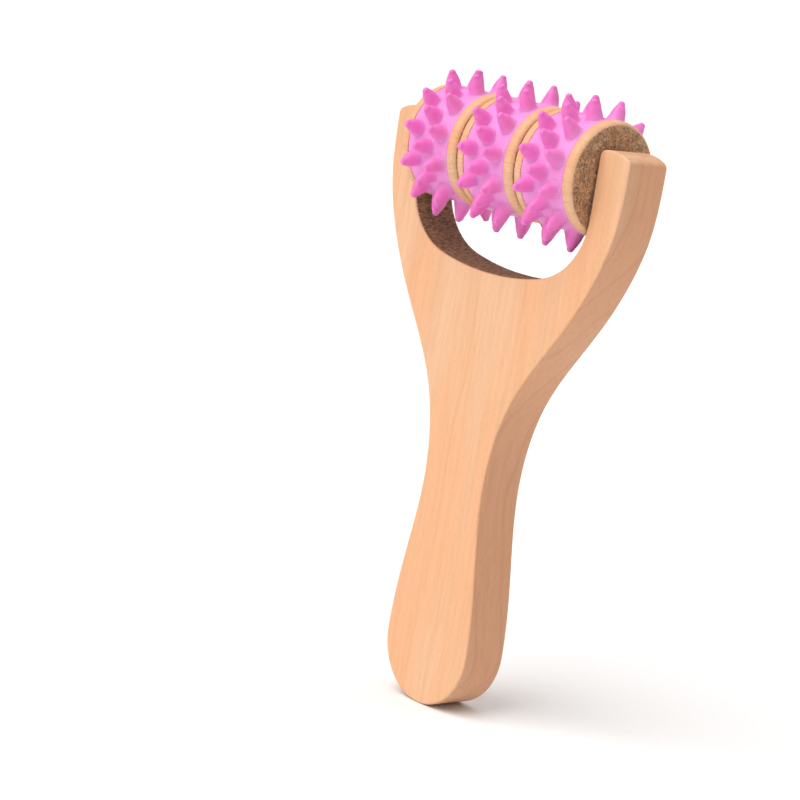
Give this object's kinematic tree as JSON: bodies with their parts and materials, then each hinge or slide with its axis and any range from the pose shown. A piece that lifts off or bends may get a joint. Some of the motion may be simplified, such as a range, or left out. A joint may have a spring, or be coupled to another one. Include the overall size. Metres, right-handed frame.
{
  "type": "roller massager",
  "caption": "Hand-held wooden massager: a forked board handle with rollers in soft spiked rings turning on a dowel across its arms.",
  "frame": {"origin": "middle of the handle's round lower end, on the surface under it, half way through the board's thickness", "axes": "+Z along the handle from its round end to the rollers, +X along the dowel from the left arm to the right arm, +Y out of the board's back face"},
  "size_m": [0.08, 0.0374, 0.155],
  "materials": {
    "board_wood": "sanded beech, fine lengthwise grain, thin satin oil",
    "dowel_wood": "plain beech dowel",
    "spool_wood": "turned beech, smooth rims and rough open end grain",
    "ring_plastic": "soft satin polypropylene, pink lilac"
  },
  "bodies": {
    "fork": {"handle_fork": "board_wood", "dowel": "dowel_wood"},
    "roller_left": {"spool_left": "spool_wood", "spiked_ring_left": "ring_plastic"},
    "roller_middle": {"spool_middle": "spool_wood", "spiked_ring_middle": "ring_plastic"},
    "roller_right": {"spool_right": "spool_wood", "spiked_ring_right": "ring_plastic"}
  },
  "joints": [
    {"name": "left_roller_spin", "type": "hinge", "parent": "fork", "child": "roller_left", "pos_m": [-0.0198, 0, 0.13625], "axis": [1, 0, 0], "continuous": true},
    {"name": "middle_roller_spin", "type": "hinge", "parent": "fork", "child": "roller_middle", "pos_m": [0, 0, 0.13625], "axis": [1, 0, 0], "continuous": true},
    {"name": "right_roller_spin", "type": "hinge", "parent": "fork", "child": "roller_right", "pos_m": [0.0198, 0, 0.13625], "axis": [1, 0, 0], "continuous": true}
  ]
}
